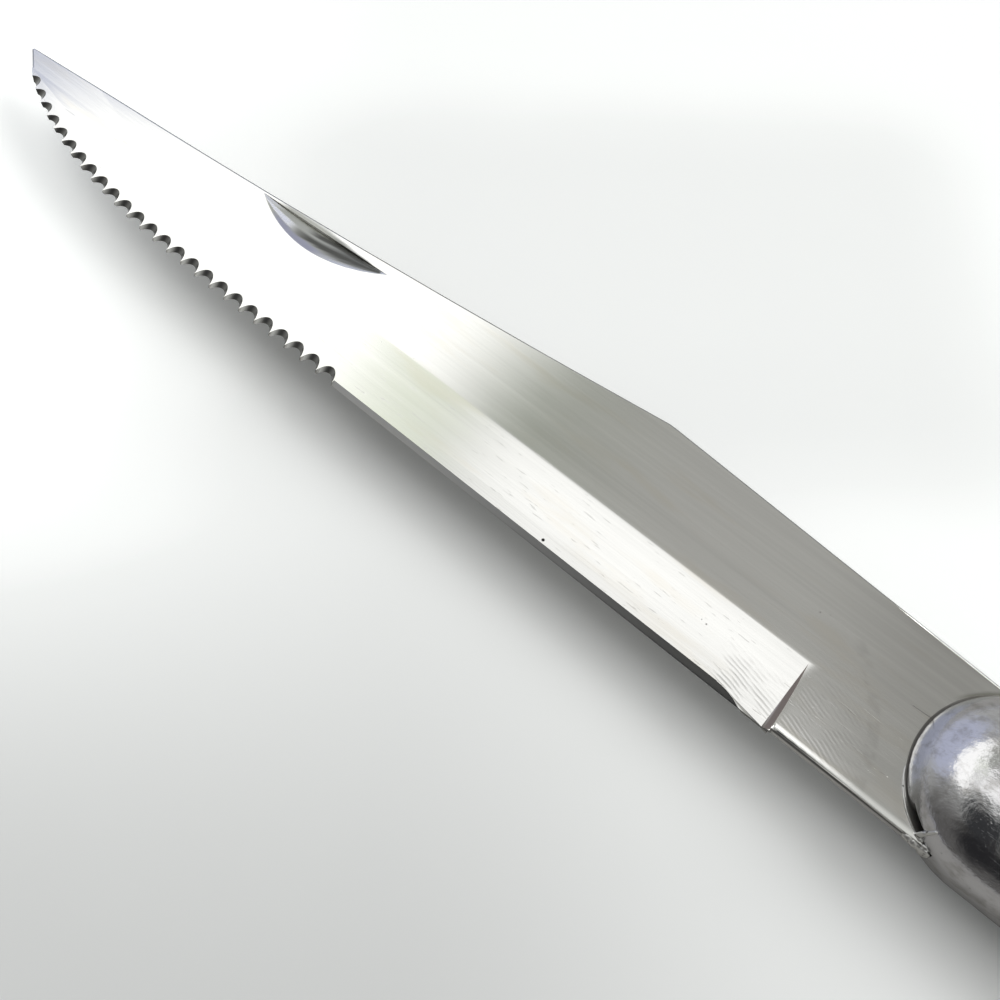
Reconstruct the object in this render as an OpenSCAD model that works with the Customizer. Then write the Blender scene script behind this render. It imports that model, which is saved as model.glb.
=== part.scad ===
// Steak knife lying on its side on a table: +X runs from the tip to the butt, +Y to the spine, +Z up.
// The origin is the middle of the knife's footprint, on the table.

/* [Blade] */
// Length of the blade that shows, from the tip to the front of the bolster
blade_len = 123.0; // [115:0.5:130]
// Thickness of the blade and of its tang
stock = 1.3; // [1.1:0.1:1.5]
// Height of the spine over the knife's axis where the blade meets the bolster
spine_at_bolster = 8.3; // [8.1:0.1:8.5]
// Height of the spine over the axis at the shoulder, the widest place of the blade
spine_at_shoulder = 10.4; // [10:0.1:10.8]
// Distance of the shoulder ahead of the bolster
shoulder_ahead = 35.5; // [31:0.5:39]
// Height of the point over the axis
tip_rise = 1.2; // [1:0.1:1.8]
// How far the spine dips under a straight line between shoulder and point
spine_dip = 0.77; // [0.5:0.01:1]
// Distance of the cutting edge below the axis
edge_drop = 8.75; // [8.65:0.05:8.8]
// Distance of the ricasso's lower side below the axis
ricasso_drop = 8.55; // [8.4:0.05:8.6]
// Length of the toothed belly, from the tip back to the straight edge
belly_from_tip = 58.6; // [58:0.1:62]
// Steepness of the belly's rise towards the point
belly_power = 4.4; // [3.8:0.1:4.6]
// Length of the short front of the tip, from the point back to the first tooth
tip_front = 3.8; // [3.5:0.1:4.5]

/* [Grinding] */
// Distance from the bolster to the end of the hollow grind
grind_ahead = 10.35; // [9:0.05:12]
// Distance below the axis of the line where the hollow grind starts
grind_line_drop = 1.4; // [1:0.1:2]
// Radius of the wheel that hollowed the faces
wheel_r = 90; // [70:5:150]
// Thickness left at the cutting edge
edge_thick = 0.4; // [0.3:0.05:0.5]
// Thickness that the flat grind towards the point leaves along the rising edge
point_thick = 0.52; // [0.46:0.02:0.6]
// Turn of the flat grind towards the point, away from the knife's axis, in degrees
point_turn = 17; // [15:1:19]
// Distance from the bolster to the heel end of the sharpened bevel
bevel_ahead = 13.0; // [12.6:0.1:18]
// Width of the sharpened bevel across the face, near the heel
bevel_w = 0.66; // [0.6:0.02:0.7]
// Width of the sharpened bevel where it meets the teeth
bevel_w_at_teeth = 0.5; // [0.3:0.02:0.56]

/* [Teeth] */
// Number of scallops
teeth = 25; // [20:1:25]
// Distance from one cusp to the next, along the edge
pitch = 2.26; // [2.1:0.01:2.27]
// Radius of the tool that cut the scallops
scallop_r = 1.2; // [1.18:0.02:1.3]
// Depth of a scallop in the upper face, at the heel end of the row
scallop_depth = 1.46; // [1.36:0.02:1.56]
// The same for the last scallop at the tip
tip_scallop_depth = 0.76; // [0.7:0.02:0.9]
// Lean of the scallops away from square to the blade, in degrees
scallop_lean = 53; // [50:1:55]

/* [Crescent] */
// Distance from the bolster to the middle of the crescent near the spine
crescent_ahead = 78; // [74:0.5:82]
// Distance from the spine down to the crescent's upper side
crescent_drop = 0.85; // [0.7:0.05:1.2]
// Length of the crescent
crescent_len = 17.8; // [14:0.1:20]
// Width of the crescent across the face
crescent_w = 2.9; // [2:0.1:3.2]
// Depth of the crescent along its upper side
crescent_depth = 0.38; // [0.3:0.02:0.45]

/* [Handle] */
// Length of the handle from the front of the bolster to the butt
handle_len = 109.5; // [105:0.5:118]
// Length of the bolster
bolster_len = 26; // [24:0.5:30]
// Half of the bolster's width
bolster_half_w = 9.2; // [9.1:0.1:9.8]
// Half of the handle's thickness between its two flat sides
handle_half_t = 6.2; // [5.6:0.1:6.6]
// Half of the handle's width at the butt
butt_half_w = 10.5; // [10.4:0.1:11]
// How far the sides of the handle draw in between bolster and butt
waist = 1.0; // [0.6:0.1:1.4]
// Length of the pommel cap
cap_len = 13; // [11:0.5:16]
// Squareness of the handle's cross section, where 2 is an ellipse
squareness = 2.3; // [2:0.1:2.8]
// Width of the tang
tang_w = 9; // [8:0.5:10]

/* [Rivets and pins] */
// Radius of the rivets' heads
rivet_head_r = 3.1; // [2.6:0.1:3.3]
// Thickness of the rivets' heads
rivet_head_t = 1.2; // [1:0.1:1.5]
// Radius of the rivets' sleeves
rivet_sleeve_r = 2.0; // [1.8:0.1:2.2]
// Radius of the rivets' studs
rivet_stud_r = 1.4; // [1.2:0.1:1.5]
// Radius of the pins through the bolster and the pommel cap
pin_r = 1.2; // [1:0.1:1.5]

/* [Hidden] */

// Colours of the real surfaces
steel = [0.66, 0.67, 0.67];
polished = [0.74, 0.74, 0.76];
solder_grey = [0.60, 0.60, 0.58];
rosewood = [0.30, 0.12, 0.08];

// Smoothness of round surfaces and of the big grinding wheels
$fn = 96;
wheel_fn = 360;

// Clearance round pins and tang, gap that the solder fills, and how far a cutter runs past its work
ease = 0.03;
slot_gap = 0.12;
past = 1;

// Places along the knife
total_len = blade_len + handle_len;
nose_x = blade_len - total_len / 2;
dome_x = nose_x + bolster_half_w;
scale_x = nose_x + bolster_len;
cap_x = total_len / 2 - cap_len;
scale_len = cap_x - scale_x;

// The blade's full width ends inside the dome, and its tang inside the cap
blade_shoulder_x = dome_x - 3;
tang_end_x = cap_x + cap_len / 2;

// Rivets at these shares of the scales' length, pins in the bolster's and the cap's thick parts
rivet_at = [for (share = [1, 3, 5] / 6) scale_x + share * scale_len];
bolster_pin_x = scale_x - 7;
cap_pin_x = cap_x + 3.5;

// Half-thickness of the handle's oval before its two sides are cut flat
oval_half_t = handle_half_t - 0.1;
full_half_t = handle_half_t + 0.8;

// Height of the knife's axis over the table
lift = handle_half_t;

// A place on the blade, measured ahead of the bolster
function ahead(d) = nose_x - d;

// Spine from the shoulder to the point: a straight line with a shallow dip
function spine_y(d) =
    let (t = (d - shoulder_ahead) / (blade_len - shoulder_ahead))
    spine_at_shoulder + (tip_rise - spine_at_shoulder) * t - 4 * spine_dip * t * (1 - t);

// Edge: straight, then a belly that rises ever faster up to the lower end of the tip's short front
front_y = -2.15;
belly_rise = edge_drop + front_y;
belly_ahead = blade_len - belly_from_tip;
belly_len = belly_from_tip - tip_front;
function along_belly(d) = max(0, d - belly_ahead) / belly_len;
function edge_y(d) = -edge_drop + belly_rise * pow(along_belly(d), belly_power);
function edge_slope(d) = belly_rise * belly_power / belly_len * pow(along_belly(d), belly_power - 1);

// Distance ahead of the bolster of each cusp, one pitch apart along the curving edge
function next_cusp(d) = d + pitch / sqrt(1 + pow(edge_slope(d + pitch / 2), 2));
function cusps(d, n) = n == 0 ? [d] : concat([d], cusps(next_cusp(d), n - 1));
cusp = cusps(belly_ahead, teeth);

// Part of an oval cross section, counter-clockwise between two angles
function rounded(value) = sign(value) * pow(abs(value), 2 / squareness);
function oval(half_w, half_t, from_a, to_a, steps) =
    [for (i = [0 : steps])
        let (a = from_a + (to_a - from_a) * i / steps)
        [half_w * rounded(cos(a)), half_t * rounded(sin(a))]];
function whole_oval(half_w, half_t, steps) = oval(half_w, half_t, 0, 360 - 360 / steps, steps - 1);

// Width and thickness of the handle behind the bolster: t runs from 0 at the bolster to 1 at the cap
function handle_w(t) =
    bolster_half_w + (butt_half_w - bolster_half_w) * t - 4 * waist * t * (1 - t);
function handle_t(t) = oval_half_t + (full_half_t - oval_half_t) * sin(90 * min(1, 3 * t));

// Skin through a row of closed rings with equally many points, closed at both ends
module skin(rings) {
    n = len(rings[0]);
    m = len(rings);
    polyhedron(
        points = [for (ring = rings) each ring],
        faces = concat(
            [[for (j = [0 : n - 1]) j]],
            [for (i = [0 : m - 2], j = [0 : n - 1]) each [
                [i * n + j, (i + 1) * n + j, i * n + (j + 1) % n],
                [i * n + (j + 1) % n, (i + 1) * n + j, (i + 1) * n + (j + 1) % n]
            ]],
            [[for (j = [n - 1 : -1 : 0]) (m - 1) * n + j]]
        )
    );
}

// One ring across the knife at x, made from a flat outline of Y and Z
function ring_at(x, outline) = [for (p = outline) [x, p[0], p[1]]];

// Everything between the two flat sides of the handle
module between_flats(from_x, to_x) {
    half_w = butt_half_w + past;
    translate([from_x, -half_w, -handle_half_t])
        cube([to_x - from_x, 2 * half_w, 2 * handle_half_t]);
}

module pin_hole(x, r) {
    translate([x, 0, -handle_half_t - past])
        cylinder(r = r + ease, h = 2 * (handle_half_t + past));
}

// Outline of the blade with its tang
module blade_outline() {
    spine_steps = 16;
    belly_steps = 26;
    heel_land = 0.1;
    heel_slope = 2.5;
    tip_round = 0.3;
    shoulder_round = 0.8;
    polygon(concat(
        [
            [blade_shoulder_x, -ricasso_drop],
            [ahead(grind_ahead), -ricasso_drop],
            [ahead(grind_ahead), -edge_drop - heel_land],
            [ahead(bevel_ahead), -edge_drop - heel_land],
            [ahead(bevel_ahead + heel_slope), -edge_drop]
        ],
        [for (i = [0 : belly_steps])
            let (d = belly_ahead + belly_len * i / belly_steps)
            [ahead(d), edge_y(d)]],
        [
            [ahead(blade_len), tip_rise - tip_round],
            [ahead(blade_len - tip_round / 2), tip_rise]
        ],
        [for (i = [1 : spine_steps])
            let (d = blade_len + (shoulder_ahead - blade_len) * i / spine_steps)
            [ahead(d), spine_y(d)]],
        [
            [ahead(shoulder_ahead - shoulder_round), spine_at_shoulder],
            [blade_shoulder_x, spine_at_bolster],
            [blade_shoulder_x, tang_w / 2],
            [tang_end_x, tang_w / 2],
            [tang_end_x, -tang_w / 2],
            [blade_shoulder_x, -tang_w / 2]
        ]
    ));
}

// Wheel that hollows the upper face: its side rounds off at the heel and leaves a sloping step
module grinding_wheel() {
    step_w = 0.7;
    step_h = 0.45;
    top = [-grind_line_drop, stock / 2];
    low = [-edge_drop, edge_thick / 2];
    chord = norm(low - top);
    out = [low[1] - top[1], top[0] - low[0]] / chord;
    centre = (top + low) / 2 + out * sqrt(wheel_r * wheel_r - chord * chord / 4);
    wheel_w = blade_len + past - grind_ahead - step_w;
    translate([ahead(blade_len) - past, centre[0], centre[1]])
        rotate([0, 90, 0]) {
            cylinder(r = wheel_r, h = wheel_w, $fn = wheel_fn);
            translate([0, 0, wheel_w])
                cylinder(r1 = wheel_r, r2 = wheel_r - step_h, h = step_w, $fn = wheel_fn);
        }
}

// Flat grind that thins the upper face towards the point, along the rising part of the edge
module point_grind() {
    slope = atan((stock - edge_thick) / 2 / (edge_drop - grind_line_drop));
    reach = 30;
    translate([ahead(blade_len - tip_front), front_y, point_thick / 2])
        rotate([0, 0, -point_turn])
        rotate([slope, 0, 0])
        translate([-reach / 3, -reach / 3, 0])
            cube([2 * reach, reach, reach / 5]);
}

// Sharpened bevel along the plain edge, on the upper face only: it narrows towards the teeth and
// has a round end at the heel
module bevel_cutter() {
    end_r = 7;
    height = 3;
    lean = atan(edge_thick / bevel_w);
    slant_w = bevel_w / cos(lean);
    run = belly_ahead - bevel_ahead - end_r / 2;
    shallower = edge_thick * (1 - bevel_w_at_teeth / bevel_w);
    translate([ahead(bevel_ahead) - end_r / 2, -edge_drop, -edge_thick / 2])
        rotate([0, atan(shallower / run), 0])
        rotate([lean, 0, 0])
        linear_extrude(height = height)
            intersection() {
                translate([-run, -end_r])
                    square([run + end_r, end_r + slant_w + ease]);
                union() {
                    translate([-run, -end_r])
                        square([run, 2 * end_r]);
                    translate([0, slant_w - end_r])
                        circle(r = end_r);
                }
            }
}

// One scallop between two cusps: a leaning cylinder that bites deeper into the upper face
module scallop(i) {
    d = (cusp[i] + cusp[i + 1]) / 2;
    depth = scallop_depth + (tip_scallop_depth - scallop_depth) * pow(i / (teeth - 1), 3);
    tool_len = 8;
    translate([ahead(d), edge_y(d), edge_thick / 2])
        rotate([0, 0, -atan(edge_slope(d))])
        translate([0, depth - scallop_r / cos(scallop_lean), 0])
        rotate([-scallop_lean, 0, 0])
        translate([0, 0, -tool_len / 2])
            cylinder(r = scallop_r, h = tool_len, $fn = 48);
}

// Crescent: a big bevelled wheel, its flat side towards the spine
module crescent_cutter() {
    wheel = crescent_len * crescent_len / (8 * crescent_depth);
    wheel_w = 6;
    narrowing = crescent_depth * wheel_w / crescent_w;
    tilt = 3;
    upper_y = spine_y(crescent_ahead) - crescent_drop;
    translate([ahead(crescent_ahead), upper_y, stock / 2 - crescent_depth])
        rotate([0, 0, tilt])
        translate([0, 0, wheel])
        rotate([90, 0, 0])
            cylinder(r1 = wheel, r2 = wheel - narrowing, h = wheel_w, $fn = wheel_fn);
}

module blade() {
    color(steel)
        translate([0, 0, lift])
        difference() {
            translate([0, 0, -stock / 2])
                linear_extrude(height = stock)
                    blade_outline();
            grinding_wheel();
            point_grind();
            mirror([0, 0, 1]) {
                grinding_wheel();
                point_grind();
            }
            bevel_cutter();
            for (i = [0 : teeth - 1])
                scallop(i);
            crescent_cutter();
            for (x = rivet_at)
                pin_hole(x, rivet_sleeve_r);
            for (x = [bolster_pin_x, cap_pin_x])
                pin_hole(x, pin_r);
        }
}

// The bolster's body without its slot: a domed nose that runs on as an oval bar
module bolster_body() {
    translate([dome_x, 0, 0])
        rotate([0, 0, 90])
        rotate_extrude(angle = 180)
            polygon(oval(bolster_half_w, oval_half_t, -90, 90, 40));
    translate([dome_x, 0, 0])
        rotate([90, 0, 90])
        linear_extrude(height = scale_x - dome_x)
            polygon(whole_oval(bolster_half_w, oval_half_t, 80));
}

// Room for the blade's end and for the tang behind it
module tang_slot(gap) {
    half = stock / 2 + gap;
    translate([nose_x - past, -ricasso_drop - gap, -half])
        cube([blade_shoulder_x - nose_x + past, ricasso_drop + spine_at_bolster + 2 * gap, 2 * half]);
    translate([blade_shoulder_x - past, -tang_w / 2 - gap, -half])
        cube([scale_x - blade_shoulder_x + 2 * past, tang_w + 2 * gap, 2 * half]);
}

module slotted_bolster() {
    difference() {
        bolster_body();
        tang_slot(slot_gap);
    }
}

module bolster() {
    color(polished)
        translate([0, 0, lift])
        difference() {
            slotted_bolster();
            pin_hole(bolster_pin_x, pin_r);
        }
}

// Steel pin through the bolster and the tang, ground flush with the bolster's surface
module bolster_pin() {
    color(polished)
        translate([0, 0, lift])
        intersection() {
            translate([bolster_pin_x, 0, -handle_half_t])
                cylinder(r = pin_r, h = 2 * handle_half_t);
            bolster_body();
        }
}

// Solder drawn into the gap round the blade, with the bead that stands at the lower corner
module solder_seam() {
    seam_len = 3.4;
    bead_r = 1;
    bead_at = [blade_shoulder_x - 1, -ricasso_drop + bead_r / 2, 0];
    blade_h = ricasso_drop + spine_at_bolster;
    seam_x = blade_shoulder_x - seam_len;
    color(solder_grey)
        translate([0, 0, lift])
        difference() {
            union() {
                intersection() {
                    bolster_body();
                    translate([seam_x, -ricasso_drop - slot_gap, -stock / 2 - slot_gap])
                        cube([seam_len, blade_h + 2 * slot_gap, stock + 2 * slot_gap]);
                }
                translate(bead_at)
                    sphere(r = bead_r);
            }
            translate([seam_x - past, -ricasso_drop, -stock / 2])
                cube([bolster_len, blade_h, stock]);
            slotted_bolster();
        }
}

// One scale: half of the handle's oval, flat where it lies on its twin
module scale_body() {
    stations = 18;
    arc_steps = 24;
    intersection() {
        skin([for (i = [0 : stations])
            let (t = i / stations)
            ring_at(scale_x + t * scale_len, oval(handle_w(t), handle_t(t), 0, 180, arc_steps))]);
        between_flats(scale_x - past, cap_x + past);
    }
}

// The same with its recess for the tang and its holes for the rivets
module scale_half() {
    recess_w = tang_w + 4 * ease;
    difference() {
        scale_body();
        translate([scale_x - past, -recess_w / 2, -past])
            cube([scale_len + 2 * past, recess_w, stock / 2 + past]);
        for (x = rivet_at) {
            pin_hole(x, rivet_sleeve_r);
            translate([x, 0, handle_half_t - rivet_head_t])
                cylinder(r = rivet_head_r + ease, h = rivet_head_t + past);
        }
    }
}

module upper_scale() {
    color(rosewood)
        translate([0, 0, lift])
            scale_half();
}

module lower_scale() {
    color(rosewood)
        translate([0, 0, lift])
        mirror([0, 0, 1])
            scale_half();
}

// Upper half of a rivet: a head with a solid shank that is driven into the sleeve
module rivet_stud(x) {
    shank_z = -handle_half_t + rivet_head_t + past;
    color(polished)
        translate([x, 0, lift]) {
            translate([0, 0, handle_half_t - rivet_head_t])
                cylinder(r = rivet_head_r, h = rivet_head_t);
            translate([0, 0, shank_z])
                cylinder(r = rivet_stud_r, h = handle_half_t - rivet_head_t - shank_z);
        }
}

// Lower half of a rivet: a head with a tube that takes the stud and stops short of its head
module rivet_sleeve(x) {
    short_of = 0.2;
    color(polished)
        translate([x, 0, lift - handle_half_t])
        difference() {
            union() {
                cylinder(r = rivet_head_r, h = rivet_head_t);
                cylinder(r = rivet_sleeve_r, h = 2 * handle_half_t - rivet_head_t - short_of);
            }
            translate([0, 0, rivet_head_t])
                cylinder(r = rivet_stud_r + ease, h = 2 * handle_half_t);
        }
}

module front_rivet_stud() rivet_stud(rivet_at[0]);
module front_rivet_sleeve() rivet_sleeve(rivet_at[0]);
module middle_rivet_stud() rivet_stud(rivet_at[1]);
module middle_rivet_sleeve() rivet_sleeve(rivet_at[1]);
module rear_rivet_stud() rivet_stud(rivet_at[2]);
module rear_rivet_sleeve() rivet_sleeve(rivet_at[2]);

// The cap's body: the handle's oval carried on and rounded off at the butt
module cap_body() {
    stations = 12;
    last = 84;
    intersection() {
        skin([for (i = [0 : stations])
            let (a = last * i / stations)
            ring_at(
                cap_x + cap_len * sin(a) / sin(last),
                whole_oval(butt_half_w * cos(a), full_half_t * cos(a), 48)
            )]);
        between_flats(cap_x - past, cap_x + cap_len + past);
    }
}

module pommel_cap() {
    gap = 2 * ease;
    color(polished)
        translate([0, 0, lift])
        difference() {
            cap_body();
            translate([cap_x - past, -tang_w / 2 - gap, -stock / 2 - gap])
                cube([tang_end_x - cap_x + past + gap, tang_w + 2 * gap, stock + 2 * gap]);
            pin_hole(cap_pin_x, pin_r);
        }
}

module pommel_pin() {
    color(polished)
        translate([cap_pin_x, 0, 0])
            cylinder(r = pin_r, h = 2 * handle_half_t);
}

blade();
bolster();
bolster_pin();
solder_seam();
upper_scale();
lower_scale();
front_rivet_stud();
front_rivet_sleeve();
middle_rivet_stud();
middle_rivet_sleeve();
rear_rivet_stud();
rear_rivet_sleeve();
pommel_cap();
pommel_pin();
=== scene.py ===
import math

import bmesh
import bpy
from mathutils import Matrix, Vector, noise


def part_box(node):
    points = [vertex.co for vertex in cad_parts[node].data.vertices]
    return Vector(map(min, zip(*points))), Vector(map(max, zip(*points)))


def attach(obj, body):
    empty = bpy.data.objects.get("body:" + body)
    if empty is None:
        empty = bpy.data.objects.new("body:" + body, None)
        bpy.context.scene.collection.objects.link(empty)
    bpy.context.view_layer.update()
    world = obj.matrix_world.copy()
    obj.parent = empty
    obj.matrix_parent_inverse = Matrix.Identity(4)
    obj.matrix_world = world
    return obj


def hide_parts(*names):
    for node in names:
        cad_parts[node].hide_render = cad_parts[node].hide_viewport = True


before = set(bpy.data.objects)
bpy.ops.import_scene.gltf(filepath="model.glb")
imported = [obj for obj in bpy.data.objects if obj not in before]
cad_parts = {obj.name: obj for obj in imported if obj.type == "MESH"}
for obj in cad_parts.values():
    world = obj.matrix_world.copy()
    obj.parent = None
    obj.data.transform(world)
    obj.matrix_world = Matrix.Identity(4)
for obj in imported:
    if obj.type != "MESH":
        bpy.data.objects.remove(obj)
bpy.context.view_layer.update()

MM = 0.001
eye = Vector((-10.9, -42.5, 98.8)) * MM
looks_along = Vector((-0.2482, 0.3448, -0.9053)).normalized()
picture_right = Vector((0.7610, 0.6476, 0.0380)).normalized()
picture_up = picture_right.cross(looks_along)
picture_right = looks_along.cross(picture_up)

lens = bpy.data.cameras.new("camera")
lens.sensor_width = 36
focal_ratio = 1.05
lens.lens = focal_ratio * lens.sensor_width
lens.clip_start = 5 * MM
camera = bpy.data.objects.new("camera", lens)
camera.matrix_world = Matrix.Translation(eye) @ Matrix(
    (picture_right, picture_up, -looks_along)
).transposed().to_4x4()
bpy.context.scene.collection.objects.link(camera)
bpy.context.scene.camera = camera
bpy.context.scene.view_settings.view_transform = "Standard"


# Table: a big pale sheet with a dull white lacquer, faintly mottled. What the camera sees of it is
# painted light:
# painted bright beyond the point of the knife, painted shade falling off towards the camera and a
# painted dimmer patch beyond the spine, with a faint painted glow where it is palest; this evens out
# away from the knife. What steel mirrors
# of it has painted tones of its own: painted shade near the knife and a painted lavender reflection
# beyond the point.
class Wire:
    """A socket that varies over a surface. Sums on it add Math nodes."""

    def __init__(self, paint, socket):
        self.paint = paint
        self.socket = socket

    def maths(self, operation, *values):
        return self.paint.add("Math", dict(enumerate(values)), operation=operation)

    def __add__(self, other):
        return self.maths("ADD", self, other)

    __radd__ = __add__

    def __sub__(self, other):
        return self.maths("SUBTRACT", self, other)

    def __rsub__(self, other):
        return self.maths("SUBTRACT", other, self)

    def __mul__(self, other):
        return self.maths("MULTIPLY", self, other)

    __rmul__ = __mul__

    def __truediv__(self, other):
        return self.maths("DIVIDE", self, other)

    def __pow__(self, other):
        return self.maths("POWER", self, other)

    def __neg__(self):
        return self.maths("MULTIPLY", self, -1)

    def sine(self):
        return self.maths("SINE", self)

    def most(self, other):
        return self.maths("MAXIMUM", self, other)

    def rise(self, low, high):
        """0 below low, 1 above high, and a soft step between them."""
        return self.paint.add(
            "MapRange",
            {"Value": self, "From Min": low, "From Max": high},
            interpolation_type="SMOOTHSTEP",
        )

    def near(self, middle, reach, soft):
        """1 within reach of the middle, and 0 where it is farther off by more than soft."""
        off = self.maths("ABSOLUTE", self - middle)
        return 1 - off.rise(reach, reach + soft)


class Paint:
    """The nodes of a material or of the world."""

    def __init__(self, owner):
        owner.use_nodes = True
        self.tree = owner.node_tree
        self.tree.nodes.clear()
        self.owner = owner

    def add(self, kind, inputs=(), out=0, **settings):
        node = self.tree.nodes.new("ShaderNode" + kind)
        for name, value in settings.items():
            setattr(node, name, value)
        for name, value in dict(inputs).items():
            socket = node.inputs[name]
            if isinstance(value, Wire):
                self.tree.links.new(value.socket, socket)
            else:
                socket.default_value = value
        return Wire(self, node.outputs[out]) if node.outputs else None

    def place(self, stretch=(1, 1, 1), turn=0):
        """Where a point is on the object, in millimetres, stretched for grain and lines."""
        at = self.add("TexCoord", out="Object")
        return self.add(
            "Mapping",
            {"Vector": at, "Scale": [s / MM for s in stretch], "Rotation": (0, 0, math.radians(turn))},
        )

    def noise(self, stretch=(1, 1, 1), scale=1, detail=3, turn=0, rough=0.5):
        """Soft noise with one blotch to about one millimetre over the scale."""
        return self.add(
            "TexNoise",
            {"Vector": self.place(stretch, turn), "Scale": scale, "Detail": detail, "Roughness": rough},
        )

    def axes(self):
        """The three coordinates of a point in millimetres, each a wire."""
        at = self.place()
        return [self.add("SeparateXYZ", {"Vector": at}, out=axis) for axis in "XYZ"]

    def blend(self, share, first, second):
        """A colour between two colours."""
        return self.add("Mix", {"Factor": share, 6: first, 7: second}, out=2, data_type="RGBA")

    def bump(self, height, depth, under=None):
        """A normal from a height of 0 to 1 that is depth millimetres deep."""
        inputs = {"Height": height, "Distance": depth * MM, "Strength": 1}
        if under:
            inputs["Normal"] = under
        return self.add("Bump", inputs)

    def surface(self, **inputs):
        """The shader itself, set on the output."""
        named = {name.replace("_", " "): value for name, value in inputs.items()}
        shader = self.add("BsdfPrincipled", named)
        self.add("OutputMaterial", {"Surface": shader})


def new_paint(name):
    return Paint(bpy.data.materials.new(name))


def grey(level):
    return (level, level, level, 1)


def apart(x, y, at_x=0, at_y=0):
    """How far a point is from an upright line, in millimetres."""
    return ((x - at_x) * (x - at_x) + (y - at_y) * (y - at_y)) ** 0.5


paint = new_paint("white_lacquer")
mottle = paint.noise(scale=0.12)
x, y, z = paint.axes()
up = 0.76 * y - 0.65 * x
right = 0.75 * x + 0.66 * y
camera_sees = paint.add("LightPath", out="Is Camera Ray")
steel_sees = paint.add("LightPath", out="Is Glossy Ray")
# Painted light and shade for camera rays: brighter beyond the point and away from the camera, with a
# painted dimmer patch beyond the spine
shade = 0.61 + 0.40 * up.rise(-35, 45) + 0.24 * right.rise(-45, 10) * (1 - up.rise(-10, 40))
shade = shade + 0.20 * (-right).rise(40, 90) * up.rise(-15, 30) + 0.01 * mottle
shade = shade - 0.09 * right.near(-25, 40, 20) * up.rise(15, 32) * (1 - up.rise(65, 85))
from_middle = apart(x, y)
away = x.rise(45, 110).most(from_middle.rise(145, 230))
shade = shade + away * (0.86 - shade)
# Painted reflection tones that steel sees of the table: painted shade near the knife, grey beyond the
# butt and lavender beyond the point
far = from_middle.rise(60, 260)
far_painted_mirror_tones = paint.blend((-x).rise(0, 150), grey(0.38), (0.60, 0.62, 0.72, 1))
painted_mirror_tones = paint.blend(far, (0.50, 0.49, 0.47, 1), far_painted_mirror_tones)
plain = paint.blend(steel_sees, (0.62, 0.62, 0.61, 1), painted_mirror_tones)
# A faint painted glow that only the camera sees, stronger where the painted light is palest
painted_glow = ((shade - 0.96).most(0) + 0.03) * camera_sees
paint.surface(
    Base_Color=paint.blend(camera_sees, plain, paint.blend(shade, grey(0), (0.985, 1.0, 0.99, 1))),
    Roughness=0.5 + 0.1 * mottle,
    Specular_IOR_Level=0.2,
    Emission_Color=paint.blend(painted_glow, grey(0), (0.88, 0.90, 0.895, 1)),
    Emission_Strength=1,
)
table_half = 600 * MM
table_mesh = bpy.data.meshes.new("table")
corners = [(-1, -1), (1, -1), (1, 1), (-1, 1)]
table_mesh.from_pydata([(i * table_half, j * table_half, 0) for i, j in corners], [], [(0, 1, 2, 3)])
table_mesh.materials.append(paint.owner)
table = bpy.data.objects.new("table", table_mesh)
bpy.context.scene.collection.objects.link(table)


# Light: two wide panes of sky overhead, a big soft box far off beyond the butt, and a pale room round
# them that is lavender beyond the point and dim on the side of the camera.
world = bpy.data.worlds.new("room")
bpy.context.scene.world = world
room = Paint(world)
looking = room.add("TexCoord", out="Generated")


def along(direction):
    """The cosine of the angle between where one looks and a direction."""
    return room.add("VectorMath", {0: looking, 1: direction}, out="Value", operation="DOT_PRODUCT")


def patch(azimuth, elevation, inner, outer):
    """1 within inner degrees of a direction, falling softly to 0 at outer degrees."""
    flat = math.cos(math.radians(elevation))
    turn = math.radians(azimuth)
    middle = (flat * math.cos(turn), flat * math.sin(turn), math.sin(math.radians(elevation)))
    return along(middle).rise(math.cos(math.radians(outer)), math.cos(math.radians(inner)))


def pane(corners):
    """1 inside an outline. Each corner has its slopes from straight up, to +X and to +Y, and how many
    degrees wide the edge from there to the following corner blurs."""
    inside = 1
    for (*this, blur), (*following, _) in zip(corners, corners[1:] + corners[:1]):
        edge = Vector((*this, 1)).cross(Vector((*following, 1))).normalized()
        inside = along(edge).rise(0, math.radians(blur)) * inside
    return inside


# The walls, and places on them that are paler or darker: each with its direction, the degrees round it
# that are full and the degrees at which it ends, and its colour
walls = (0.62, 0.625, 0.605, 1)
for where, colour in (
    ((-100, 5, 25, 75), (0.16, 0.155, 0.15, 1)),
    ((158, 26, 16, 40), (0.72, 0.76, 0.94, 1)),
    ((117, 58, 4, 11), (0.32, 0.37, 0.27, 1)),
    ((84, 60, 8, 26), (0.52, 0.515, 0.49, 1)),
    ((64, 56, 4, 13), (0.36, 0.355, 0.335, 1)),
    ((-84, 38, 12, 32), (0.03, 0.03, 0.032, 1)),
    ((-98, 66, 12, 21), (0.05, 0.052, 0.055, 1)),
):
    walls = room.blend(patch(*where), walls, colour)
sky = (1.62, 1.61, 1.59, 1)
bright_sky = (1.85, 1.84, 1.80, 1)
front_pane = [
    (-1.05, -0.30, 4), (-0.40, -0.30, 8), (-0.245, 0.95, 1), (-0.86, 0.635, 0.8), (-1.15, 0.285, 1),
]
middle_pane = [(-0.44, -0.08, 4), (0.22, -0.08, 5), (0.21, 0.36, 4), (-0.40, 0.37, 7)]
walls = room.blend(pane(front_pane), walls, bright_sky)
walls = room.blend(pane(middle_pane), walls, sky)
walls = room.blend(0.8 * patch(145, 63, 1.5, 4.5), walls, (1.05, 1.13, 0.90, 1))
straight = room.add("LightPath", out="Is Camera Ray")
room_glow = room.add("Background", {"Color": room.blend(straight, walls, grey(0.95)), "Strength": 1.0})
room.add("OutputWorld", {"Surface": room_glow})

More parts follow.
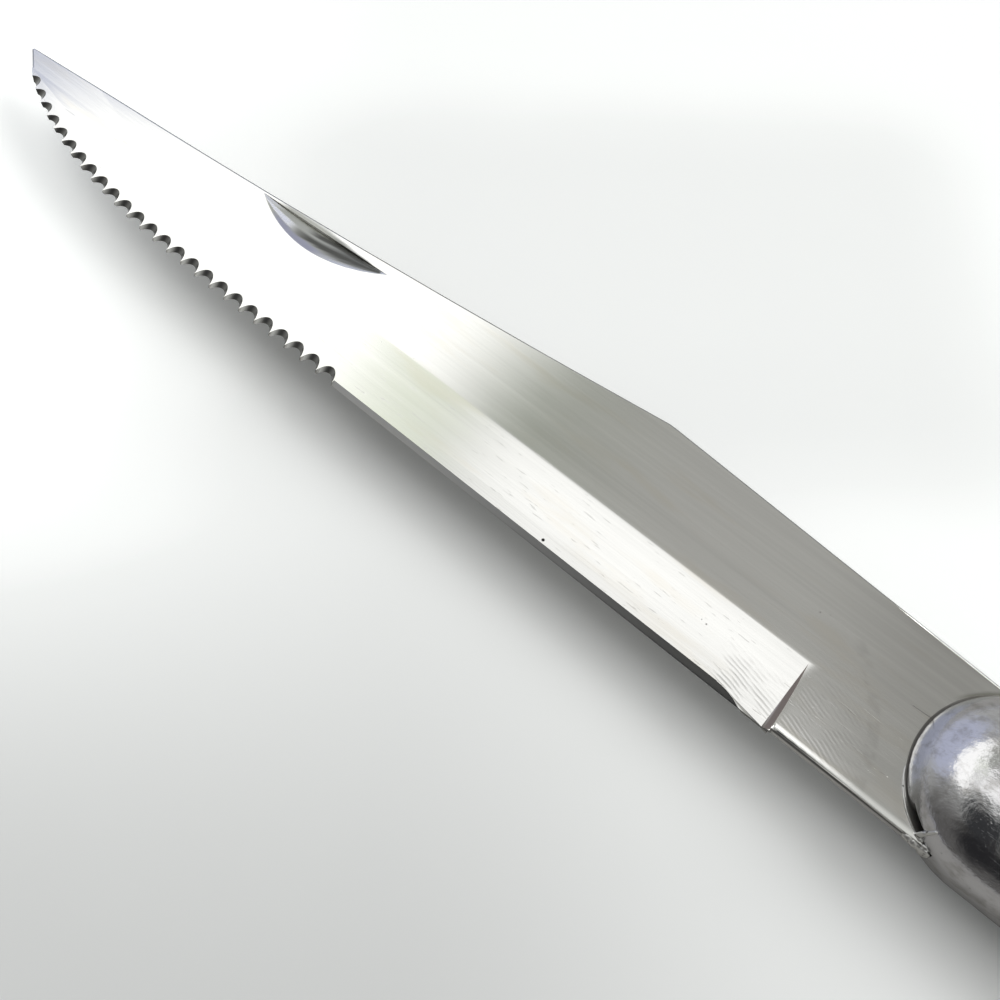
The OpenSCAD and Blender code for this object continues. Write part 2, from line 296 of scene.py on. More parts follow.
soft_box_at = Vector((1150, 900, 1150)) * MM
lamp = bpy.data.lights.new("soft_box", "AREA")
lamp.shape = "RECTANGLE"
lamp.size = 1000 * MM
lamp.size_y = 900 * MM
lamp.color = (1, 0.995, 0.98)
lamp.energy = 19.0
soft_box = bpy.data.objects.new("soft_box", lamp)
soft_box.location = soft_box_at
soft_box.rotation_euler = (-soft_box_at).to_track_quat("-Z", "Y").to_euler()
bpy.context.scene.collection.objects.link(soft_box)


# Blade: one stamped piece of stainless steel with its tang. Both faces are hollow ground and brushed
# along their length, the scallops, the bevel and the crescent are cut into the upper one, and the
# spine, the point and the ricasso are rounded over by polishing.
stock = 1.3
blade_end = 12.95
grind_line = -1.4
heel = -3.6
ricasso_drop, spine_rise = 8.55, 8.3
nose_middle = 15.95
nose_round = 9.2
cut_front, cut_middle, cut_len = -80.9, -71.25, 17.8


def brushed_steel():
    paint = new_paint("brushed_steel")
    x, y, z = paint.axes()
    facing = paint.add("TexCoord", out="Normal")
    tilt_x = paint.add("SeparateXYZ", {"Vector": facing}, out="X")
    tilt_y = paint.add("SeparateXYZ", {"Vector": facing}, out="Y")

    # Brushed lines, and broad cloudy streaks of handling
    lines = paint.noise(stretch=(0.05, 7, 7), detail=2)
    coarse_lines = paint.noise(stretch=(0.035, 2.6, 2.6), detail=2)
    streaks = paint.noise(stretch=(0.02, 0.9, 0.9), detail=3)
    cloud = paint.noise(stretch=(0.12, 0.3, 0.3), detail=3)

    # Chatter of the wheel near the heel of the grind, and on the ricasso within an arc
    wander = paint.noise(stretch=(0.2, 0.3, 0.3), detail=1)
    across = y + 0.16 * x + 0.009 * (x + 12) * (x + 12) + 0.6 * wander
    ripple = (across * (2 * math.pi / 0.43)).sine()
    patchy = paint.noise(stretch=(0.4, 0.9, 0.9), detail=2).rise(0.38, 0.60)
    from_arc = apart(x, y, -11, -10)
    on_grind = x.near(-7.4, 2.2, 2.2) * (-y).rise(3.4, 5.2) * (1 - x.rise(-4.4, -4.2))
    by_heel = apart(x, y, -1.5, -7).rise(1, 6.5)
    on_ricasso = x.rise(heel - 0.1, heel + 0.4) * (1 - from_arc.rise(15.6, 17.0)) * (0.9 - 0.7 * by_heel)
    chatter = ripple * patchy
    arc_edge = from_arc.near(16.2, 0.3, 0.5) * x.rise(-3, -1) * patchy

    # Pits, a black speck near the edge and a scratch by the bolster
    specks = 0
    for at_x, at_y, size in (
        (-13.6, -4.4, 0.16), (-14.2, -4.3, 0.12), (-9.6, -4.8, 0.1),
        (-6.2, 3.5, 0.16), (-5.3, 3.9, 0.13), (-11.3, -1.8, 0.1), (-43.5, 1.2, 0.09), (-22.6, 5.3, 0.09),
    ):
        off = apart(x, y, at_x, at_y) + 0.1 * wander
        specks = specks + 0.7 * (1 - off.rise(0.3 * size, 1.3 * size))
    dots = paint.add("TexVoronoi", {"Vector": paint.place(), "Scale": 0.45}, out="Distance")
    specks = specks + 0.45 * (1 - dots.rise(0.012, 0.035))
    fine_dots = paint.add(
        "TexVoronoi", {"Vector": paint.place((0.4, 1, 1)), "Scale": 1.3}, out="Distance"
    )
    specks = specks + 0.3 * (1 - fine_dots.rise(0.015, 0.05)) * (-y).rise(0.5, 2)
    hole = 1 - (apart(x, y, -30.4, -7.8) + 0.15 * wander).rise(0.18, 0.28)
    nicks = paint.noise(stretch=(0.45, 5, 5), detail=2, turn=-9).rise(0.67, 0.73)
    nicks = nicks * (-y).rise(0.8, 1.8)
    scratch = (y - 0.06 * x).near(1.27, 0.02, 0.05) * x.near(5.9, 0.8, 0.4)
    marks = (specks + 0.8 * scratch).rise(0, 1)

    # Masks for painted shade in the scallops, the straight bevel and the step at the heel, and for the
    # ricasso's rolled lower edge, which is rounded in the bump and gets a painted highlight with a
    # painted dark line under it
    facing_edge = (-tilt_y).rise(0.3, 0.6) * (1 - x.rise(heel - 0.1, heel + 0.1))
    in_scallop = facing_edge * (-x).rise(57.5, 57.8)
    in_bevel = facing_edge * x.rise(-57.8, -57.5) * z.rise(6.0, 6.1)
    in_step = (-tilt_x).rise(0.15, 0.4) * x.near(-4.2, 1.6, 0.2) * z.rise(6.2, 6.3)
    rolled = (-7.8 - y).most(0) * x.rise(-3.7, -3.4)
    under_roll_painted_shade = (-tilt_y).rise(0.5, 0.8) * x.rise(-3.5, -3.3) * z.rise(6.3, 6.45)
    at_front = (-x).rise(113.7, 113.9)
    # Mask for a painted dark reflection along the rounded spine and the front of the point
    outline = (tilt_y.rise(0.1, 0.35) + (-tilt_x).rise(0.1, 0.35) * at_front).rise(0, 1)
    in_scallop = in_scallop * (1 - at_front)
    from_nose = apart(x, y, nose_middle) - nose_round
    # Mask for painted contact shade on the blade just round the bolster's nose
    joint_painted_shade = 1 - (from_nose + 0.15 * (wander - 0.5)).rise(0.07, 0.16)
    # Mask for a painted brownish-green shade band on the blade by the bolster, towards the spine
    bolster_painted_shade = (1 - (from_nose + 0.8 * (cloud - 0.5)).rise(0.1, 0.55)) * y.rise(4.2, 6.2)

    # The crescent's floor carries painted reflections: a pale streak between two dark ones that run
    # together at its rear end, a bluish band along the front of its lower side, and a tone that grows
    # darker towards the rear
    along_cut = x - cut_middle
    ahead_of_middle = (-along_cut).most(0)
    lower_side = 1.41 + 0.052 * along_cut + 0.0366 * along_cut * along_cut
    upper_limit = 5.15 - 0.06 * along_cut.most(0) - 0.021 * ahead_of_middle * ahead_of_middle
    fan = (5.66 - y) / (-61.8 - x)
    streak = paint.add(
        "TexNoise",
        {"Vector": paint.add("CombineXYZ", {"X": 17 * fan, "Y": 0.1 * x}), "Scale": 1, "Detail": 2},
    )
    rearward = (x - cut_front) / cut_len
    upward = (y - lower_side) / (upper_limit - lower_side).most(0.3) + 0.16 * (streak - 0.5)
    pale_painted_reflection = upward.near(0.33, 0.07, 0.09) * (1 - rearward.rise(0.28, 0.42))
    blue_painted_reflection = (1 - upward.rise(0.14, 0.26)) * rearward.rise(0.16, 0.27)
    blue_painted_reflection = blue_painted_reflection * (1 - rearward.rise(0.55, 0.75))
    lower_painted_dark_reflection = upward.near(0.31 + 0.17 * rearward.rise(0.4, 0.85), 0.04, 0.13)
    lower_painted_dark_reflection = lower_painted_dark_reflection * rearward.rise(0.3, 0.52)
    upper_painted_dark_reflection = upward.near(0.60 + 0.12 * rearward.rise(0.5, 0.68), 0.03, 0.08)
    upper_painted_dark_reflection = upper_painted_dark_reflection * rearward.rise(0.42, 0.55)
    # Painted reflections on the crescent's floor
    cut = paint.blend(rearward.rise(0.5, 0.8), (0.40, 0.405, 0.37, 1), (0.17, 0.172, 0.16, 1))
    cut = paint.blend(pale_painted_reflection, cut, (0.85, 0.85, 0.84, 1))
    cut = paint.blend(blue_painted_reflection, cut, (0.33, 0.335, 0.40, 1))
    cut = paint.blend(lower_painted_dark_reflection, cut, (0.10, 0.10, 0.09, 1))
    cut = paint.blend(upper_painted_dark_reflection, cut, (0.11, 0.11, 0.10, 1))
    rear_fade = 1 - rearward.rise(0.55, 0.75) * (1 - upward.rise(0.02, 0.28))
    floor = (y - lower_side).rise(-0.08, 0.04) * (1 - upward.rise(0.82, 1.02)) * z.rise(6.3, 6.4)
    floor = floor * (rearward - 0.12 * upward.rise(0.3, 0.7)).rise(0.0, 0.16)
    floor = floor * (1 - rearward.rise(0.99, 1.01)) * rear_fade
    # Painted light: the crescent's upper wall is made pale and unmetallic so that it shows lighter
    upper_wall_painted_light = floor * (-tilt_y).rise(0.6, 0.8) * (1 - rearward.rise(0.5, 0.7))

    steel = paint.blend(
        0.3 * lines + 0.3 * coarse_lines + 0.4 * streaks, (0.54, 0.545, 0.535, 1), (0.74, 0.74, 0.725, 1)
    )
    warm = paint.noise(stretch=(0.09, 0.5, 0.5), detail=3).rise(0.52, 0.72)
    steel = paint.blend(0.55 * warm, steel, (0.62, 0.60, 0.55, 1))
    rippled = (0.22 * on_grind + 0.16 * on_ricasso) * (0.5 + 0.5 * ripple) * patchy
    steel = paint.blend(rippled + 0.05 * on_ricasso + 0.14 * arc_edge, steel, (0.26, 0.25, 0.245, 1))
    steel = paint.blend(0.25 * nicks, steel, (0.34, 0.33, 0.32, 1))
    # Painted shade in the scallops: darker on their walls that face the butt, lighter on those that face
    # the point
    scallop_painted_shade = paint.blend(tilt_x.rise(-0.45, 0.45), (0.40, 0.405, 0.39, 1), (0.28, 0.28, 0.27, 1))
    steel = paint.blend(0.9 * in_scallop, steel, scallop_painted_shade)
    # Painted reflection on the straight bevel: pale by the scallops, going dark as painted shade towards
    # the heel
    bevel_painted_shade = paint.blend(x.rise(-48, -7), (0.90, 0.91, 0.90, 1), (0.16, 0.16, 0.155, 1))
    steel = paint.blend(0.9 * in_bevel, steel, bevel_painted_shade)
    # Painted shade on the step at the heel, darkest and brownish towards the upper face
    step_painted_shade = paint.blend(z.rise(6.42, 6.6), (0.42, 0.39, 0.35, 1), (0.15, 0.115, 0.085, 1))
    steel = paint.blend(0.9 * in_step, steel, step_painted_shade)
    # Painted highlight along the ricasso's rolled lower edge
    steel = paint.blend((2.2 * rolled).rise(0, 1), steel, (0.92, 0.92, 0.90, 1))
    # Painted shade: a black line just under the ricasso's rolled edge
    steel = paint.blend(0.9 * under_roll_painted_shade, steel, (0.04, 0.04, 0.04, 1))
    # Painted dark reflection along the rounded spine and the front of the point
    steel = paint.blend(0.8 * outline, steel, (0.12, 0.12, 0.125, 1))
    # Painted shade band by the bolster
    steel = paint.blend(0.6 * bolster_painted_shade, steel, (0.20, 0.20, 0.15, 1))
    # Painted contact shade round the bolster's nose
    steel = paint.blend(0.85 * joint_painted_shade, steel, (0.06, 0.055, 0.05, 1))
    # The crescent's floor gets its painted reflections
    steel = paint.blend(floor, steel, cut)
    steel = paint.blend(upper_wall_painted_light, steel, (0.92, 0.92, 0.88, 1))
    steel = paint.blend(marks, steel, (0.12, 0.115, 0.11, 1))
    steel = paint.blend(hole, steel, (0.008, 0.008, 0.008, 1))
    relief = 0.0012 * lines + 0.0013 * coarse_lines + 0.0013 * chatter * (on_grind + on_ricasso)
    relief = relief - 0.002 * nicks + 0.008 * floor * streak - 0.25 * rolled * rolled
    rough = 0.08 + 0.05 * cloud + 0.05 * streaks + 0.06 * on_ricasso + 0.3 * joint_painted_shade + 0.2 * outline
    rough = rough + 0.25 * marks + 0.3 * floor * (1 - pale_painted_reflection)
    rough = rough + 0.2 * in_scallop + 0.35 * in_bevel + 0.25 * in_step
    paint.surface(
        Base_Color=steel,
        Metallic=1 - upper_wall_painted_light,
        Roughness=rough,
        Normal=paint.bump(relief, 1),
    )
    return paint.owner


def loose(name, mesh):
    obj = bpy.data.objects.new(name, mesh)
    bpy.context.scene.collection.objects.link(obj)
    return obj


def put_on(obj, paint, nodes):
    """Paints a piece and puts it on the knife, where it stands for the named solids."""
    obj.data.materials.clear()
    obj.data.materials.append(paint)
    even = obj.modifiers.new("even_shading", "WEIGHTED_NORMAL")
    even.keep_sharp = True
    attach(obj, "root")
    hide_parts(*nodes)


shape = bmesh.new()
shape.from_mesh(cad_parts["blade"].data)
bmesh.ops.remove_doubles(shape, verts=shape.verts, dist=0.001 * MM)
bmesh.ops.dissolve_limit(shape, angle_limit=math.radians(0.25), verts=shape.verts, edges=shape.edges)
for through, across in (
    ((0, grind_line + 0.5, 0), (0, 1, 0)),
    ((heel + 0.6, 0, 0), (1, 0, 0)),
):
    everything = shape.verts[:] + shape.edges[:] + shape.faces[:]
    bmesh.ops.bisect_plane(shape, geom=everything, plane_co=Vector(through) * MM, plane_no=across)
worn_over = shape.faces.layers.int.new("worn_over")


def edges_where(test):
    """The visible edges between an upper or lower face and the face beside it that pass a test."""
    found = []
    for edge in shape.edges:
        if len(edge.link_faces) != 2 or edge.calc_face_angle() < math.radians(20):
            continue
        middle = (edge.verts[0].co + edge.verts[1].co) / 2 / MM
        flat, beside = sorted(edge.link_faces, key=lambda face: -abs(face.normal.z))
        if middle.x < blade_end and test(middle, flat.normal, beside.normal):
            found.append(edge)
    return found


def wear(edges, width, segments):
    done = bmesh.ops.bevel(
        shape, geom=edges, offset=width * MM, offset_type="OFFSET", segments=segments, profile=0.5,
        affect="EDGES", clamp_overlap=True,
    )
    for face in done["faces"]:
        face[worn_over] = 1


def is_spine_or_point(at, flat, beside):
    return abs(flat.z) > 0.9 and abs(beside.z) < 0.1 and (beside.y > 0.5 or at.x < -113.6)


def is_ricasso_edge(at, flat, beside):
    return abs(flat.z) > 0.9 and beside.y < -0.9 and at.x > heel - 0.01


def is_step_edge(at, flat, beside):
    return flat.z > 0.99 and beside.x < -0.3 and beside.z > 0.3 and at.x > heel - 3


wear(edges_where(is_spine_or_point), 0.26, 5)
wear(edges_where(is_ricasso_edge), 0.2, 5)
wear(edges_where(is_step_edge), 0.1, 3)
for face in shape.faces:
    face.smooth = True
for edge in shape.edges:
    if len(edge.link_faces) != 2:
        continue
    one, other = edge.link_faces
    turn = math.degrees(edge.calc_face_angle())
    is_worn = one[worn_over] or other[worn_over]
    level = max(one.normal.z, other.normal.z) > 0.99999 and edge.verts[0].co.y > 0.3 * MM
    edge.smooth = bool(is_worn) or not (turn > 12 or level and turn > 3)
ground_mesh = bpy.data.meshes.new("ground_blade")
shape.to_mesh(ground_mesh)
shape.free()
put_on(loose("ground_blade", ground_mesh), brushed_steel(), ["blade"])


# Bolster: a stainless casting closed round the blade, its domed nose running on as an oval bar
# behind. It is polished to a mirror and has gone faintly cloudy and scratched in use.
lift = 6.2
nose_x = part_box("bolster")[0].x / MM
half_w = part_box("bolster")[1].y / MM
half_t = 6.1
dome_x = nose_x + half_w
scale_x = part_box("bolster")[1].x / MM
squareness = 2.3
gap = 0.12


def rounded(value):
    return math.copysign(abs(value) ** (2 / squareness), value)


def oval_point(half_width, half_height, degrees):
    angle = math.radians(degrees)
    return half_width * rounded(math.cos(angle)), half_height * rounded(math.sin(angle))


def skin(name, rings, closed=True):
    """A mesh through rows of points in millimetres, measured from the knife's axis."""
    shape = bmesh.new()
    rows = [[shape.verts.new(Vector((x, y, z + lift)) * MM) for x, y, z in ring] for ring in rings]
    count = len(rows[0])
    for this, following in zip(rows, rows[1:]):
        for i in range(count if closed else count - 1):
            j = (i + 1) % count
            shape.faces.new((this[i], this[j], following[j], following[i]))
    bmesh.ops.remove_doubles(shape, verts=shape.verts, dist=0.002 * MM)
    ends = [edge for edge in shape.edges if edge.is_boundary]
    if ends:
        bmesh.ops.holes_fill(shape, edges=ends, sides=0)
    bmesh.ops.recalc_face_normals(shape, faces=shape.faces)
    mesh = bpy.data.meshes.new(name)
    shape.to_mesh(mesh)
    shape.free()
    return mesh


def block(low, high):
    """A cutter with these two corners, in millimetres from the knife's axis."""
    ring = [(low[1], low[2]), (high[1], low[2]), (high[1], high[2]), (low[1], high[2])]
    return skin("cutter", [[(x, y, z) for y, z in ring] for x in (low[0], high[0])])


reach = 9


def drill(x, radius, low=-reach, high=reach):
    """A round cutter along Z, in millimetres from the knife's axis, by default right through."""
    turns = [2 * math.pi * i / 96 for i in range(96)]
    circle = [(x + radius * math.cos(a), radius * math.sin(a)) for a in turns]
    return skin("cutter", [[(px, py, z) for px, py in circle] for z in (low, high)])


def settle(obj):
    """Turns what the object's modifiers make into its mesh."""
    bpy.context.view_layer.update()
    mesh = bpy.data.meshes.new_from_object(obj.evaluated_get(bpy.context.evaluated_depsgraph_get()))
    obj.modifiers.clear()
    obj.data = mesh


def carve(obj, cutters):
    """Cuts each cutter's mesh out of the object."""
    for cutter in cutters:
        tool = loose("cutter", cutter)
        cut = obj.modifiers.new("cut", "BOOLEAN")
        cut.object = tool
        cut.solver = "EXACT"
        settle(obj)
        bpy.data.objects.remove(tool)


def finished(obj, paint, nodes, sharp=30, edge=0.0):
    """Gives a piece its worn edges, its paint and its place on the knife."""
    if edge:
        worn = obj.modifiers.new("worn_edges", "BEVEL")
        worn.width = edge * MM
        worn.segments = 3
        worn.limit_method = "ANGLE"
        worn.angle_limit = math.radians(sharp)
        worn.harden_normals = False
        settle(obj)
    shape = bmesh.new()
    shape.from_mesh(obj.data)
    for face in shape.faces:
        face.smooth = True
    for crease in shape.edges:
        crease.smooth = len(crease.link_faces) == 2 and crease.calc_face_angle() < math.radians(sharp)
    shape.to_mesh(obj.data)
    shape.free()
    put_on(obj, paint, nodes)


def polished_steel(name, shade, rough, waves):
    """Mirror-polished stainless steel with fine scratches, cloudy wear and a few pits."""
    paint = new_paint(name)
    cloud = paint.noise(scale=0.35, detail=4, rough=0.6)
    smudge = paint.noise(stretch=(0.5, 1, 1), scale=0.9, detail=5, rough=0.65)
    scratch = paint.noise(stretch=(0.25, 9, 9), detail=2, turn=24).rise(0.66, 0.72)
    crossing = paint.noise(stretch=(0.3, 8, 8), detail=2, turn=-37).rise(0.68, 0.74)
    dots = paint.add("TexVoronoi", {"Vector": paint.place(), "Scale": 0.8}, out="Distance")
    pits = 1 - dots.rise(0.03, 0.09)
    worn = smudge.rise(0.45, 0.7)
    clean, dulled = ([c * shade for c in tone] + [1] for tone in ((1.0, 1.0, 1.02), (0.70, 0.69, 0.68)))
    steel = paint.blend(worn, clean, dulled)
    steel = paint.blend(0.5 * pits, steel, (0.12, 0.12, 0.12, 1))
    ground = paint.noise(scale=0.3, detail=2) + 0.4 * paint.noise(scale=1.1, detail=4, rough=0.6)
    rolling = paint.bump(ground, waves)
    dented = paint.bump(1 - (scratch + crossing).rise(0, 1), 0.002, rolling)
    paint.surface(
        Base_Color=steel,
        Metallic=1.0,
        Roughness=rough + 0.1 * worn + 0.06 * cloud + 0.1 * pits,
        Normal=paint.bump(1 - pits, 0.01, dented),
    )
    return paint.owner


levels = [-90 + 180 * i / 88 for i in range(89)]
bar = [scale_x + (dome_x - scale_x) * i / 6 for i in range(6)]
turns = [-90 + 180 * i / 96 for i in range(97)]
rows = []
for level in levels:
    out, height = oval_point(half_w, half_t, level)
    front = [(math.radians(turn), out) for turn in turns]
    rows.append(
        [(x, -out, height) for x in bar]
        + [(dome_x - out * math.cos(turn), out * math.sin(turn), height) for turn, out in front]
        + [(x, out, height) for x in reversed(bar)]
    )
bolster = loose("cast_bolster", skin("cast_bolster", rows, closed=False))
half_slot = stock / 2 + gap
tang_half = 4.5
pin_r = 1.2
ease = 0.03
bolster_pin_x = scale_x - 7
open_from, open_to, open_depth = 30, 59, 2.0


def opening(turn):
    """How far the casting stands back from the blade, in a joint that gapes at the lower front."""
    share = (turn - open_from) / (open_to - open_from)
    return open_depth * share ** 3 if 0 < share < 1 else 0.0


gape = [open_from + (open_to - open_from) * i / 40 for i in range(41)]
lips = [(half_w + 0.5, turn) for turn in gape]
lips += [(half_w - 0.02 - opening(turn), turn) for turn in reversed(gape)]
lips = [(r, math.radians(turn)) for r, turn in lips]
lips = [(dome_x - r * math.cos(a), -r * math.sin(a)) for r, a in lips]
gaping = skin("cutter", [[(x, y, z) for x, y in lips] for z in (-1.25, 1.6)])
carve(
    bolster,
    [
        gaping,
        block((nose_x - 1, -ricasso_drop - gap, -half_slot), (blade_end, spine_rise + gap, half_slot)),
        block((blade_end - 1, -tang_half - gap, -half_slot), (scale_x + 1, tang_half + gap, half_slot)),
        drill(bolster_pin_x, pin_r + ease),
    ],
)
mirror_steel = polished_steel("mirror_steel", 0.52, 0.11, 0.10)
finished(bolster, mirror_steel, ["bolster"], sharp=40, edge=0.1)


# Bolster pin: a steel pin driven through bolster and tang, its ends dressed flush with the casting.
def lathe(name, x, profile, steps=96):
    """A turned piece about an upright line at x, from a profile of radius and height."""
    turns = [2 * math.pi * i / steps for i in range(steps)]
    return skin(name, [[(x + r * math.cos(a), r * math.sin(a), z) for a in turns] for r, z in profile])


def crown(radius, height, rise, steps=5):
    """The upper end of a pin or rivet: a low crown with a rounded rim, from the rim to the middle."""
    edge = 0.12
    inner = radius - edge
    shoulder = height - edge - rise
    rim = [(inner + edge * math.cos(a), shoulder + edge * math.sin(a)) for a in (0, 0.5, 1.0, 1.5)]
    widths = [inner * (1 - i / steps) for i in range(1, steps)]
    top = [(r, height - rise * (r / radius) ** 2) for r in widths]
    return rim + top + [(0, height)]


def turned_over(profile):
    return [(r, -z) for r, z in reversed(profile)]


pin_top = 6.08
pin_ends = crown(pin_r, pin_top, 0.02)
pin_mesh = lathe("bolster_pin_steel", bolster_pin_x, turned_over(pin_ends) + pin_ends, 64)
rivet_steel = polished_steel("rivet_steel", 0.58, 0.12, 0.004)
finished(loose("bolster_pin_steel", pin_mesh), rivet_steel, ["bolster_pin"])


# Solder: drawn into the gap round the blade, it stands up in a low fillet on the blade beside the
# bolster and ends in a lumpy bead at the lower corner, with a tongue smeared back along the casting.
def solder_paint():
    paint = new_paint("soft_solder")
    lumps = paint.noise(scale=1.6, detail=4)
    flux = paint.noise(scale=2.4, detail=2).rise(0.60, 0.68)
    dull = paint.blend(lumps, (0.50, 0.50, 0.48, 1), (0.68, 0.68, 0.66, 1))
    paint.surface(
        Base_Color=paint.blend(0.8 * flux, dull, (0.06, 0.05, 0.045, 1)),
        Metallic=1 - 0.5 * flux,
        Roughness=0.32 + 0.15 * lumps + 0.3 * flux,
        Normal=paint.bump(lumps, 0.05),
    )
    return paint.owner


def ball(shape, middle, radii, detail=3):
    made = bmesh.ops.create_icosphere(shape, subdivisions=detail, radius=1)["verts"]
    for corner in made:
        rough = 1 + 0.12 * noise.noise(corner.co * 1.7 + Vector(middle))
        where = [m + r * c * rough for m, r, c in zip(middle, radii, corner.co)]
        corner.co = Vector((where[0], where[1], where[2] + lift)) * MM


solder_shape = bmesh.new()
for middle, radii in (
    ((10.7, -8.42, 0.15), (0.62, 0.42, 0.5)),
    ((11.3, -8.5, 0.1), (0.5, 0.4, 0.5)),
    ((11.7, -8.5, 0.0), (0.5, 0.3, 0.55)),
    ((12.4, -8.66, 0.0), (0.6, 0.24, 0.78)),
    ((11.5, -8.12, 0.66), (0.35, 0.22, 0.22)),
    ((12.2, -8.4, 0.66), (0.42, 0.2, 0.2)),
):
    ball(solder_shape, middle, radii)
tongue = [(11.1, -8.0, 0.4), (11.3, -7.8, 1.5), (11.75, -7.5, 2.6)]
for start, end, thick in zip(tongue, tongue[1:], (0.3, 0.22)):
    for i in range(9):
        at = Vector(start).lerp(Vector(end), i / 8)
        ball(solder_shape, at, (thick, thick * 0.8, thick), 2)
face_z = stock / 2
for side in (1, -1):
    for i in range(80):
        share = i / 79
        turn = math.radians(22 + 36 * share)
        swell = math.sin(math.pi * share) ** 0.6
        out = half_w + 0.16 + 0.14 * swell
        at = (dome_x - out * math.cos(turn), -out * math.sin(turn), side * face_z)
        thick = 0.05 + 0.09 * swell
        ball(solder_shape, at, (thick, thick, 0.04 + 0.08 * swell), 2)
solder_mesh = bpy.data.meshes.new("solder_fill")
solder_shape.to_mesh(solder_mesh)
solder_shape.free()
solder = loose("solder_fill", solder_mesh)
melt = solder.modifiers.new("melt", "REMESH")
melt.mode = "VOXEL"
melt.voxel_size = 0.045 * MM
calm = solder.modifiers.new("calm", "SMOOTH")
calm.iterations = 6
settle(solder)

gap_shape = bmesh.new()
gap_shape.from_mesh(solder.data)
for side in (1, -1):
    rings = []
    for i in range(121):
        degrees = 66 - 132 * i / 120
        turn = math.radians(-degrees)
        front = half_w - 0.22 + 0.03 * noise.noise(Vector((i * 0.4, side, 0))) - 0.9 * opening(degrees)
        back = half_w - 1
        z_low, z_high = sorted((side * (face_z + 0.005), side * (half_slot - 0.005)))
        outline = (front, z_low), (front, z_high), (back, z_high), (back, z_low)
        rings.append([(dome_x - r * math.cos(turn), r * math.sin(turn), z) for r, z in outline])
    strip = skin("strip", rings)
    gap_shape.from_mesh(strip)
gap_shape.to_mesh(solder.data)
gap_shape.free()
finished(solder, solder_paint(), ["solder_seam"], sharp=50)


# Scales: two half handles of oiled dark wood, each recessed for the tang and glued to the other
# along the knife's sides. Their two broad sides are planed flat.
cap_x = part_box("upper_scale")[1].x / MM
scale_len = cap_x - scale_x
butt_half_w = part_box("pommel_cap")[1].y / MM
waist = 1.0
full_half_t = 7.0
wood_face = 6.17


def flattened(z, limit, soft=0.35):
    """A height that levels off softly at the planed side."""
    over = (abs(z) - limit) / soft
    eased = limit + soft * (over if over < -1 else 0 if over > 1 else -0.25 * (over - 1) ** 2)
    return math.copysign(eased, z)


def handle_section(t):
    half_width = half_w + (butt_half_w - half_w) * t - 4 * waist * t * (1 - t)
    half_height = half_t + (full_half_t - half_t) * math.sin(math.pi / 2 * min(1, 3 * t))
    return half_width, half_height


def rosewood():
    paint = new_paint("dark_rosewood")
    x, y, z = paint.axes()
    drift = paint.noise(stretch=(0.03, 0.12, 0.12), detail=3)
    figure = paint.noise(stretch=(0.025, 1.1, 0.8), detail=4, rough=0.6)
    bands = ((y + 0.5 * z + 9 * drift) * 2.6).sine() * 0.5 + 0.5
    fibres = paint.noise(stretch=(0.12, 9, 9), detail=3)
    pores = paint.noise(stretch=(0.35, 7, 7), detail=1).rise(0.64, 0.70)
    wood = paint.blend(0.5 * bands + 0.5 * figure, (0.075, 0.022, 0.013, 1), (0.25, 0.088, 0.045, 1))
    wood = paint.blend(figure.rise(0.55, 0.75), wood, (0.035, 0.012, 0.008, 1))
    wood = paint.blend(0.35 * fibres, wood, (0.16, 0.05, 0.025, 1))
    wood = paint.blend(0.8 * pores, wood, (0.015, 0.006, 0.004, 1))
    worn = paint.noise(scale=0.15, detail=3)
    fibred = paint.bump(fibres, 0.012)
    paint.surface(
        Base_Color=wood,
        Roughness=0.36 + 0.16 * worn + 0.2 * pores,
        Coat_Weight=0.15 + 0.1 * worn,
        Coat_Roughness=0.25,
        Normal=paint.bump(1 - pores, 0.05, fibred),
    )
    return paint.owner


wood = rosewood()
rivets_x = [scale_x + share * scale_len / 6 for share in (1, 3, 5)]
head_r, head_t = 3.1, 1.2
sleeve_r, stud_r = 2.0, 1.4
recess = tang_half + 2 * ease
arc = [180 * i / 72 for i in range(73)]
for side, name in ((1, "upper_scale"), (-1, "lower_scale")):
    rings = []
    for i in range(61):
        share = i / 60
        wide, high = handle_section(share)
        x = scale_x + scale_len * share
        section = [oval_point(wide, high, angle) for angle in arc]
        section = [(y, max(0.0, flattened(z, wood_face))) for y, z in section]
        section += [(-recess, 0.0), (-recess, face_z + ease), (recess, face_z + ease), (recess, 0.0)]
        rings.append([(x, y, side * z) for y, z in section])
    half = loose(name.replace("scale", "wooden_scale"), skin(name, rings))
    cutters = []
    for x in rivets_x:
        cutters.append(drill(x, sleeve_r + ease))
        cutters.append(drill(x, head_r + ease, *sorted((side * (lift - head_t), side * reach))))
    carve(half, cutters)
    finished(half, wood, [name], sharp=40, edge=0.05)


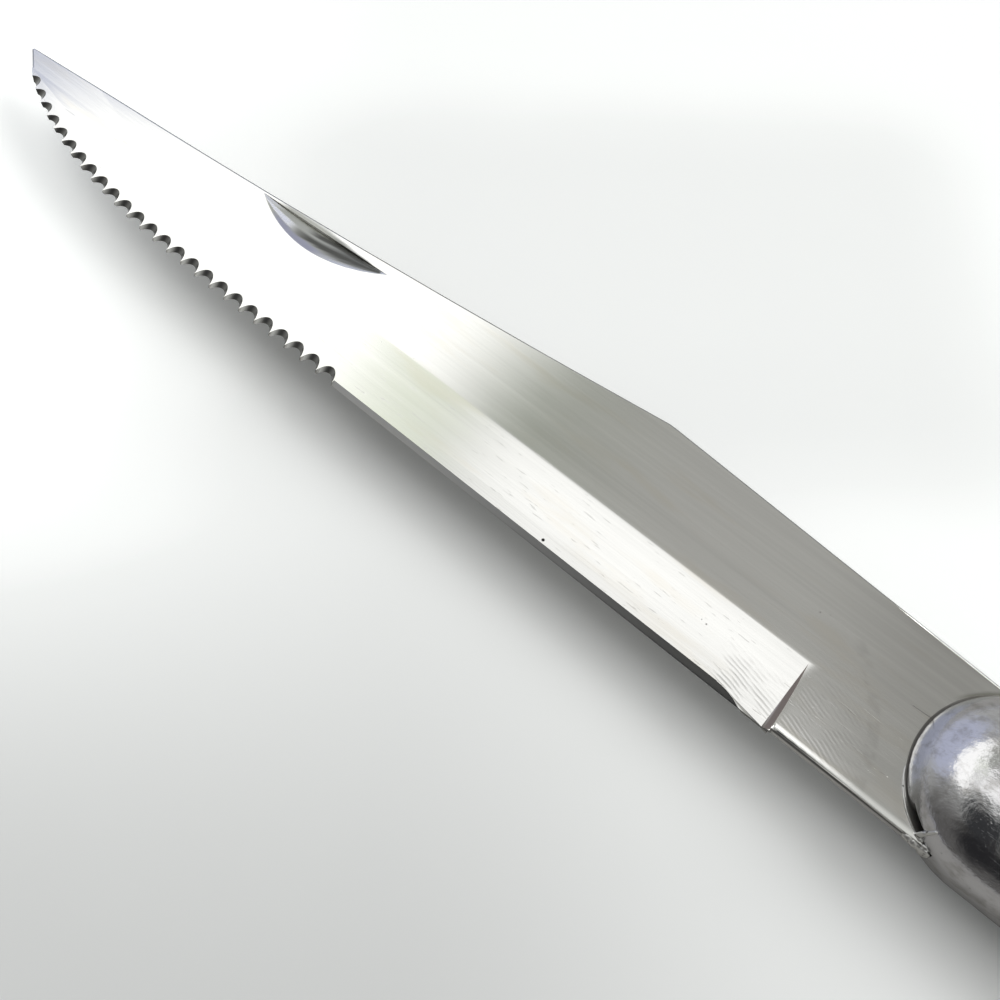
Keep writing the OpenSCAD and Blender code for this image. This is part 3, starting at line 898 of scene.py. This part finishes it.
# Rivets: a headed stud driven from one side into a headed sleeve from the other clamps scales and
# tang. The heads are dressed almost flush with the wood.
for x, place in zip(rivets_x, ("front", "middle", "rear")):
    head = crown(head_r, lift, 0.02, 8)
    under = lift - head_t
    stud_profile = [(0, -4.0), (stud_r - 0.15, -4.0), (stud_r, -3.85), (stud_r, under), (head_r, under)]
    stud_profile += head
    stud = loose(place + "_stud", lathe(place + "_stud", x, stud_profile))
    finished(stud, rivet_steel, [place + "_rivet_stud"])
    sleeve_top = under - 0.2
    sleeve_profile = turned_over(head) + [
        (head_r, -under), (sleeve_r, -under), (sleeve_r, sleeve_top), (stud_r + ease, sleeve_top),
        (stud_r + ease, -under), (0, -under),
    ]
    sleeve = loose(place + "_sleeve", lathe(place + "_sleeve", x, sleeve_profile))
    finished(sleeve, rivet_steel, [place + "_rivet_sleeve"])


# Pommel cap: a steel cap over the butt, carrying the handle's oval on and rounding it off, slotted
# inside for the end of the tang.
cap_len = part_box("pommel_cap")[1].x / MM - cap_x
last = 84
rings = []
for i in range(49):
    angle = math.radians(last * i / 48)
    x = cap_x + cap_len * math.sin(angle) / math.sin(math.radians(last))
    shrink = math.cos(angle)
    section = [oval_point(butt_half_w * shrink, full_half_t * shrink, 360 * j / 120) for j in range(120)]
    rings.append([(x, y, flattened(z, lift)) for y, z in section])
cap = loose("steel_cap", skin("steel_cap", rings))
tang_end = cap_x + cap_len / 2
slot_w, slot_half = tang_half + 2 * ease, face_z + 2 * ease
cap_slot = block((cap_x - 1, -slot_w, -slot_half), (tang_end + 2 * ease, slot_w, slot_half))
pin_x = cap_x + 3.5
carve(cap, [cap_slot, drill(pin_x, pin_r + ease)])
cap_steel = polished_steel("cap_steel", 0.56, 0.07, 0.03)
finished(cap, cap_steel, ["pommel_cap"], sharp=40, edge=0.08)


# Pommel pin: a steel pin through cap and tang, dressed flush with the cap's two flat sides.
cap_pin_ends = crown(pin_r, lift, 0.01)
cap_pin_mesh = lathe("cap_pin_steel", pin_x, turned_over(cap_pin_ends) + cap_pin_ends, 64)
finished(loose("cap_pin_steel", cap_pin_mesh), rivet_steel, ["pommel_pin"])
